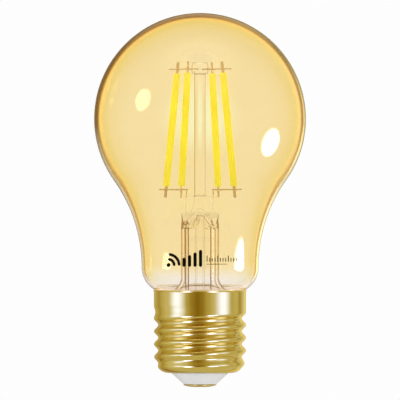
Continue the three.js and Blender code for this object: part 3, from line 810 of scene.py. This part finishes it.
def filament_coat(n):
    """A squarish rod of silicone with rounded ends, which swells and drifts a little along its length."""
    rng = random.Random(40 + n)
    phases = [rng.uniform(0, TAU) for _ in range(4)]
    half = FILAMENT_LENGTH / 2
    end_round = 0.28 * MM
    top_end = [(half - end_round + end_round * math.sin(math.radians(a)), 1 - 0.30 * (1 - math.cos(math.radians(a))))
              for a in (90, 65, 40, 20)]
    middle = [(lerp(half - end_round, end_round - half, i / 60), 1) for i in range(61)]
    rows = []
    for z, k in top_end + middle + [(-z, k) for z, k in top_end[::-1]]:
        swell = 1 + 0.012 * math.sin(z / MM * 1.1 + phases[0]) + 0.008 * math.sin(z / MM * 2.7 + phases[1])
        drift = 0.012 * FILAMENT_RADIUS * math.sin(z / MM * 0.6 + phases[2])
        row = oval(FILAMENT_RADIUS * k * swell, FILAMENT_RADIUS * 0.96 * k * swell, z, 2.25, 32)
        rows.append([(x + drift, y, h) for x, y, h in row])
    obj = loft(f"filament_{n + 1}", rows)
    obj.data.transform(filament_place(n))
    return obj


def tab(n, up):
    """A flat pressed tab: rounded corners at its free end, and the dimple of a spot weld where the wire lies.
    Sizes within it are in mm."""
    corner_size = 0.28
    weld_place, weld_size = 3.1, 0.4
    steps = 26
    rows = []
    for i in range(steps + 1):
        z = lerp(TAB_START, TAB_END, i / steps)
        corner = smoothstep((TAB_END - z) / MM, 0, corner_size)
        wide = TAB_WIDE / 2 * (0.6 + 0.4 * math.sqrt(corner))
        weld = math.exp(-(((z - TAB_START) / MM - weld_place) / weld_size) ** 2)
        thick = TAB_THICK / 2 * (1 - 0.25 * weld) * (0.75 + 0.25 * corner)
        rows.append(oval(wide * (1 + 0.06 * weld), thick, z, 6, 28))
    obj = loft(f"{'top' if up else 'bottom'}_tab_{n + 1}_metal", rows)
    turn = Matrix.Identity(4) if up else Matrix.Rotation(math.pi, 4, "X")
    obj.data.transform(filament_place(n) @ turn)
    return obj


def top_wire(n):
    """A wire from inside the button to the weld on a top tab."""
    points = [(r * MM, WELD_OFFSET, TOP_WIRE_Z) for r in (1.6, 4.5, 7.3, 9.9)]
    obj = wire(f"top_wire_{n + 1}_metal", points, THIN_WIRE * 0.9, rng=random.Random(80 + n))
    obj.data.transform(Matrix.Rotation(quarter(n), 4, "Z"))
    return obj


for n in range(4):
    finish_piece(filament_coat(n), "phosphor", PHOSPHOR, f"filament_coat_{n + 1}")
    finish_piece(tab(n, True), "nickel_wire", NICKEL, f"top_tab_{n + 1}")
    finish_piece(tab(n, False), "nickel_wire", NICKEL, f"bottom_tab_{n + 1}")
    finish_piece(top_wire(n), "nickel_wire", NICKEL, f"top_wire_{n + 1}")


# ------------------------------------ wires
BUS_JOINT = 3.9 * MM
BUS_WELD_Z = BUS_Z - THIN_WIRE - 0.05 * MM
RIGHT, LEFT = quarter(0.5), quarter(2.5)
COMMON = (-1.5 * MM, -1.06 * MM)  # where the common lead rises beside the post


def bus_wire(name, first_filament):
    """A wire across the bottom tabs of two neighbouring filaments, bent round the joint between them."""

    def along(angle, side):
        return lambda r: Vector((r * math.cos(angle) - side * WELD_OFFSET * math.sin(angle),
                                 r * math.sin(angle) + side * WELD_OFFSET * math.cos(angle), BUS_Z))

    first, second = along(quarter(first_filament), 1), along(quarter(first_filament + 1), -1)
    out, inward = 13.2 * MM, 8.2 * MM
    middle = (out + inward) / 2
    points = [first(out), first(middle), first(inward), polar(BUS_JOINT, quarter(first_filament + 0.5), BUS_Z),
              second(inward), second(middle), second(out)]
    return wire(name, points, THIN_WIRE * 0.95, per_span=10, rng=random.Random(7 + first_filament))


def at(x, y, z):
    return (x * MM, y * MM, z * MM)


finish_piece(bus_wire("bus_wire_right_metal", 0), "nickel_wire", NICKEL, "bus_wire_right")
finish_piece(bus_wire("bus_wire_left_metal", 2), "nickel_wire", NICKEL, "bus_wire_left")

SPLICE_Z = low("inner_lead_left").z + 0.05 * MM
# Where each lead-in wire crosses the foot of the stem (x, y in mm), its radius, and its way from there to its joint.
LEADS = {
    "left": ((-4.05, -0.4), 0.5 * LEAD_WIRE,
             [at(-4.0, -0.6, 50), at(-3.9, -0.9, 54.4), polar(BUS_JOINT, LEFT, BUS_WELD_Z)]),
    "right": ((3.1, 0.3), 0.5 * LEAD_WIRE,
              [at(3.5, 0.6, 50), at(3.75, 0.9, 54.4), polar(BUS_JOINT, RIGHT, BUS_WELD_Z)]),
    "common": ((-3.35, 0.6), 0.55 * THIN_WIRE,
               [at(-2.3, -0.4, 50.4), (*COMMON, 54.1 * MM), (*COMMON, 56 * MM), (*COMMON, BUTTON_LOW + 0.6 * MM)]),
}
for side, (foot, radius, route) in LEADS.items():
    foot = (foot[0] * MM, foot[1] * MM)
    inner = wire(f"inner_lead_{side}_metal", [(*foot, SPLICE_Z), *route], radius, rng=random.Random(20))
    finish_piece(inner, "nickel_wire", LEAD, f"inner_lead_{side}")
    outer_points = [(*foot, lerp(low(f"outer_lead_{side}").z, SPLICE_Z - 0.05 * MM, i / 6)) for i in range(7)]
    outer = wire(f"outer_lead_{side}_metal", outer_points, 0.7 * LEAD_WIRE, rng=random.Random(30))
    finish_piece(outer, "copper", COPPER, f"outer_lead_{side}")


# ------------------------------------ printed mark
INK_THICK = 0.012 * MM
INK_GAP = 0.01 * MM


def merge(name, parts):
    """One object made of several, which are then removed."""
    verts, faces = [], []
    for part in parts:
        faces += [tuple(i + len(verts) for i in face.vertices) for face in part.data.polygons]
        verts += [v.co.copy() for v in part.data.vertices]
        mesh = part.data
        bpy.data.objects.remove(part)
        bpy.data.meshes.remove(mesh)
    return new_object(name, verts, faces)


def stroke(points, half):
    """A rounded stroke of ink on the front of the neck glass, through (x, z) points. half is half its width, and
    all are in mm."""
    path = [Vector(p) for p in points]
    first, last = (path[0] - path[1]).normalized(), (path[-1] - path[-2]).normalized()
    cap = [(math.sin(math.radians(a)), math.cos(math.radians(a))) for a in (82, 60, 38, 18)]
    line = [(path[0] + first * half * s, half * c) for s, c in cap]
    line += [(p, half) for p in path]
    line += [(path[-1] + last * half * s, half * c) for s, c in cap[::-1]]
    rows = []
    for i, (p, wide) in enumerate(line):
        ahead = (line[min(i + 1, len(line) - 1)][0] - line[max(i - 1, 0)][0]).normalized()
        across = Vector((-ahead.y, ahead.x)) * wide
        row = []
        for (u, z), lift in ((p - across, 0), (p, 0), (p + across, 0),
                             (p + across, INK_THICK), (p, INK_THICK), (p - across, INK_THICK)):
            r = neck_surface(z * MM) + INK_GAP + lift
            row.append((u * MM, -math.sqrt(r * r - (u * MM) ** 2), z * MM))
        rows.append(row)
    return loft("stroke", rows)


def printed_mark():
    """A generic mark with no lettering: radio waves, four rising bars and a fine scale. Places are in mm."""
    foot = 34.2
    dot_x, dot_z = -8.9, foot + 0.45
    strokes = [stroke([(dot_x, dot_z), (dot_x + 0.05, dot_z + 0.02)], 0.52)]
    for radius in (1.6, 3.0):
        turns = [math.radians(a) for a in range(4, 88, 7)]
        strokes.append(stroke([(dot_x + radius * math.cos(a), dot_z + radius * math.sin(a)) for a in turns], 0.4))
    for i in range(4):
        bar_x, rise = -4.5 + 1.55 * i, 0.15 * (1.6 + 0.7 * i)
        strokes.append(stroke([(bar_x, foot + 0.4 + rise * k) for k in range(8)], 0.46))
    for i in range(12):
        tick_x, tick_high = 2 + 0.75 * i, 1.5 if i % 4 == 0 else 0.85
        strokes.append(stroke([(tick_x, foot + 1.5 + tick_high * k / 3) for k in range(4)], 0.12))
    strokes.append(stroke([(lerp(1.9, 7.6, k / 16), foot + 0.7) for k in range(17)], 0.07))
    return merge("printed_mark", strokes)


finish_piece(printed_mark(), "black_plastic", INK)


# ------------------------------------ finishes of the CAD pieces
def finish_node(material, *names):
    for name in names:
        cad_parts[name].material_slots[0].material = material


WHITE_MASK = plastic("white_solder_mask", (0.70, 0.72, 0.70), (0.80, 0.82, 0.80), (0.3, 0.45), 600)
BLACK_EPOXY = plastic("black_epoxy", (0.012, 0.012, 0.013), (0.022, 0.022, 0.024), (0.45, 0.6), 1600)
finish_node(cement(), "basing_cement")
finish_node(plastic("white_sleeve", (0.84, 0.83, 0.81), (0.9, 0.89, 0.87), (0.4, 0.55)), "insulating_sleeve")
finish_node(WHITE_MASK, "driver_board", "wireless_board")
finish_node(metal("tinned_steel", (0.62, 0.63, 0.64), (0.74, 0.75, 0.76), (0.2, 0.38), 900), "shield_can")
finish_node(metal("trace_copper", (0.62, 0.32, 0.16), (0.78, 0.45, 0.25), (0.25, 0.4), 1400), "antenna_trace")
finish_node(metal("enamelled_winding", (0.42, 0.14, 0.05), (0.66, 0.28, 0.11), (0.2, 0.32), 2200, (0.05, 0.05, 1),
                  0.04 * MM), "choke_winding")
finish_node(BLACK_EPOXY, "module_header", "driver_chip", "bridge_rectifier")
finish_node(plastic("capacitor_sleeve", (0.008, 0.008, 0.014), (0.016, 0.016, 0.024), (0.15, 0.28), 700),
            "smoothing_capacitor")
finish_node(plastic("sintered_ferrite", (0.03, 0.03, 0.033), (0.06, 0.06, 0.065), (0.6, 0.8), 1500, 0.03 * MM),
            "choke_core")
finish_node(plastic("grey_green_lacquer", (0.18, 0.30, 0.27), (0.25, 0.38, 0.35), (0.2, 0.35)), "fusible_resistor")
finish_node(plastic("red_insulation", (0.38, 0.012, 0.01), (0.5, 0.025, 0.018), (0.3, 0.42), 1200),
            "live_wire")
finish_node(plastic("blue_insulation", (0.012, 0.04, 0.22), (0.02, 0.06, 0.3), (0.3, 0.42), 1200),
            "neutral_wire")
finish_node(plastic("white_ceramic", (0.78, 0.77, 0.73), (0.88, 0.87, 0.83), (0.4, 0.55), 1800),
            *[f"filament_strip_{n + 1}" for n in range(4)])


# ------------------------------------ studio
NECK = (0, 0, 0.06)
DOME = (0, 0, DOME_CENTRE_Z)
CAP = (0, 0, 0.015)
BEHIND_DOME = (0, 0.06, DOME_CENTRE_Z + 1 * MM)
METAL_PIECES = ["screw_shell_skin", "contact_button"]
GLASS_PIECES = ["glass_bulb"]
LIGHT_RIM = 0.5  # the radius of a light in its own coordinates
LIGHT_CENTRE = (0.5, 0.5, 0)


def look_at(obj, target):
    obj.rotation_mode = "QUATERNION"
    obj.rotation_quaternion = (Vector(target) - obj.location).to_track_quat("-Z", "Y")


def toward(azimuth, elevation, distance, target):
    """A place seen from target. Azimuth is in degrees from the camera side, plus to the right."""
    a, e = math.radians(azimuth), math.radians(elevation)
    way = Vector((math.sin(a) * math.cos(e), -math.cos(a) * math.cos(e), math.sin(e)))
    return Vector(target) + way * distance


def at_least(count):
    """The ends of a fade that is 0 below a whole count and 1 from it up."""
    return count - 0.6, count - 0.4


def at_most(count):
    """The ends of a fade that is 1 up to a whole count and 0 above it."""
    return count + 0.6, count + 0.4


def soft_light(name, shape, place, target, size, radiance, receivers, hard=0.0, hole=0.0, surfaces=None,
               mirrored=True, colour=(1, 1, 1)):
    """A studio light that fades towards its rim, and falls only on the pieces it is meant for.
    hard and hole are shares of its radius: it is dark inside hole, and full from there to hard.
    surfaces makes it show in glass alone. They are the fewest and the most surfaces of glass that its light passes
    on the way to the eye, where it is either mirrored or seen straight through."""
    data = bpy.data.lights.new(name, "AREA")
    data.shape = shape
    data.size, data.size_y = size
    area = size[0] * size[1] * (math.pi / 4)
    data.energy = radiance * math.pi * area

    tree = NodeTree(data)
    spot = tree.node("ShaderNodeNewGeometry").outputs["Parametric"]
    middle = tree.node("ShaderNodeVectorMath", operation="DISTANCE")
    tree.feed(middle.inputs[0], spot)
    middle.inputs[1].default_value = LIGHT_CENTRE
    off_centre = middle.outputs["Value"]
    limits = [(off_centre, LIGHT_RIM, LIGHT_RIM * hard)]
    if hole:
        limits.append((off_centre, LIGHT_RIM * hole * 0.8, LIGHT_RIM * hole * 1.2))
    if surfaces:
        path = tree.node("ShaderNodeLightPath").outputs
        fewest, most = surfaces
        limits += [(path["Transmission Depth"], *at_least(fewest)), (path["Transmission Depth"], *at_most(most)),
                   (path["Glossy Depth"], *(at_least(1) if mirrored else at_most(0))),
                   (path["Diffuse Depth"], *at_most(0))]
    strength = 1
    for source, none, full in limits:
        strength = tree.math("MULTIPLY", strength, tree.fade(source, none, full, kind="SMOOTHSTEP"))
    emission = tree.nodes["Emission"]
    tree.feed(emission.inputs["Strength"], strength)
    tree.feed(emission.inputs["Color"], colour)

    obj = bpy.data.objects.new(name, data)
    obj.location = place
    look_at(obj, target)
    obj.visible_camera = False
    bpy.context.scene.collection.objects.link(obj)
    group = bpy.data.collections.new(name + "_receivers")
    for piece in receivers:
        group.objects.link(bpy.data.objects[piece])
    obj.light_linking.receiver_collection = group


# Highlights and rims of the glass.
soft_light("side_light", "DISK", (0.117, -0.02, 0.036), NECK, (0.054, 0.054), 19, GLASS_PIECES, hard=0.7,
           surfaces=(0, 4))
soft_light("back_glow", "DISK", BEHIND_DOME, DOME, (0.029, 0.029), 0.28, GLASS_PIECES, hard=0.2, surfaces=(3, 12),
           mirrored=False, colour=(0.2, 1, 1.9))
soft_light("top_fill", "DISK", toward(0, 60, 1.4, DOME), DOME, (3, 3), 0.8, GLASS_PIECES, surfaces=(0, 2))
soft_light("rim_ring", "DISK", toward(180, 0, 1, DOME), DOME, (2.56, 2.56), 1.1, GLASS_PIECES, hard=0.6, hole=0.5,
           surfaces=(0, 0), colour=(1, 0.56, 0.16))
soft_light("rim_right", "ELLIPSE", toward(158, 0, 1.4, NECK), NECK, (0.4, 0.9), 1.4, GLASS_PIECES,
           surfaces=(0, 2), colour=(1, 0.8, 0.3))
soft_light("rim_top", "ELLIPSE", toward(180, 24, 1.4, DOME), DOME, (1.6, 0.6), 0.7, GLASS_PIECES,
           surfaces=(0, 0), colour=(1, 0.7, 0.4))
# Bright bands of the cap.
soft_light("cap_back", "DISK", toward(180, 0, 1, CAP), CAP, (1.8, 1.8), 0.36, METAL_PIECES, hard=0.6,
           colour=(1, 0.88, 0.42))
for side, label in ((-1, "left"), (1, "right")):
    soft_light(f"low_light_{label}", "ELLIPSE", toward(35 * side, -27, 0.35, CAP), CAP, (0.24, 0.26), 4.5,
               METAL_PIECES, colour=(0.9, 1.1, 3.0))
    soft_light(f"strip_light_{label}", "ELLIPSE", toward(60 * side, 0, 1, CAP), CAP, (1.0, 1.0), 1.0, METAL_PIECES,
               colour=(0.55, 0.84, 2.9))

# What metal and glass mirror of the room: degrees from the camera side, plus to the right, and how bright it is.
ROOM = [(-180, 0.08), (-162, 0.12), (-149, 0.24), (-138, 0.42), (-126, 0.36), (-111, 0.47), (-96, 0.54),
        (-70, 0.6), (-43, 0.56), (-32, 0.42), (-20, 0.29), (-6, 0.21), (5, 0.27), (20, 0.42), (35, 0.53),
        (70, 0.58), (88, 0.47), (106, 0.52), (119, 0.37), (138, 0.56), (152, 0.45), (168, 0.36), (180, 0.08)]
CEILING, GROUND = 0.34, 0.5
BACKDROP = 0.985
BACKDROP_THROUGH_GLASS = BACKDROP + 0.045


def room_light(level):
    """Light of a share of full white. The dimmer parts of the room are warmer."""
    return (level / 0.88, level**1.43 / 0.70, level**3.65 / 0.28)


def studio_world():
    """A white studio to the eye, and a room of light and dark walls where it is mirrored."""
    world = bpy.data.worlds.new("studio")
    bpy.context.scene.world = world
    tree = NodeTree(world)
    split = tree.node("ShaderNodeSeparateXYZ")
    tree.feed(split.inputs[0], tree.node("ShaderNodeTexCoord").outputs["Generated"])
    x, y, z = split.outputs
    azimuth = tree.math("ARCTAN2", x, tree.math("MULTIPLY", y, -1))
    walls = tree.ramp(tree.fade(azimuth, -math.pi, math.pi),
                      [((degrees + 180) / 360, room_light(level)) for degrees, level in ROOM])
    with_ceiling = tree.mix(tree.fade(z, 0.45, 0.9, kind="SMOOTHSTEP"), walls, room_light(CEILING))
    room = tree.mix(tree.fade(z, -0.45, -0.9, kind="SMOOTHSTEP"), with_ceiling, room_light(GROUND))
    path = tree.node("ShaderNodeLightPath").outputs
    # A ray bent through glass counts as glossy too.
    mirrored = tree.math("SUBTRACT", path["Is Glossy Ray"], path["Is Transmission Ray"], use_clamp=True)
    white = tree.mix(path["Is Transmission Ray"], (BACKDROP,) * 3, (BACKDROP_THROUGH_GLASS,) * 3)
    tree.feed(tree.nodes["Background"].inputs["Color"], tree.mix(mirrored, white, room))


studio_world()

FLOOR_DROP = 1  # the lamp in the studio hangs free, well over the floor
floor = new_object("studio_floor", [(-5, -5, 0), (5, -5, 0), (5, 5, 0), (-5, 5, 0)], [(0, 1, 2, 3)], False)
floor.location.z = CAD_LOW.z - FLOOR_DROP
floor_shader = Shader("studio_floor", Roughness=0.9)
floor_shader.drive("Base Color", floor_shader.mottle(floor_shader.noise(3, 2), 0.95, 0.97))
floor.data.materials.append(floor_shader.material)
floor.visible_glossy = False

FRAME_WIDTH = 0.1134  # what the camera takes in at the lamp's axis
CAMERA_HEIGHT = 0.0530
camera_data = bpy.data.cameras.new("camera")
camera_data.lens = 1000
camera_data.sensor_width = 36
camera_data.clip_start, camera_data.clip_end = 0.01, 100
camera = bpy.data.objects.new("camera", camera_data)
bpy.context.scene.collection.objects.link(camera)
camera.location = (0, -FRAME_WIDTH * camera_data.lens / camera_data.sensor_width, CAMERA_HEIGHT)
camera.rotation_euler = (math.pi / 2, 0, 0)
scene = bpy.context.scene
scene.camera = camera
scene.view_settings.view_transform = "Standard"
scene.cycles.max_bounces = 32
scene.cycles.transmission_bounces = 32
scene.cycles.glossy_bounces = 12
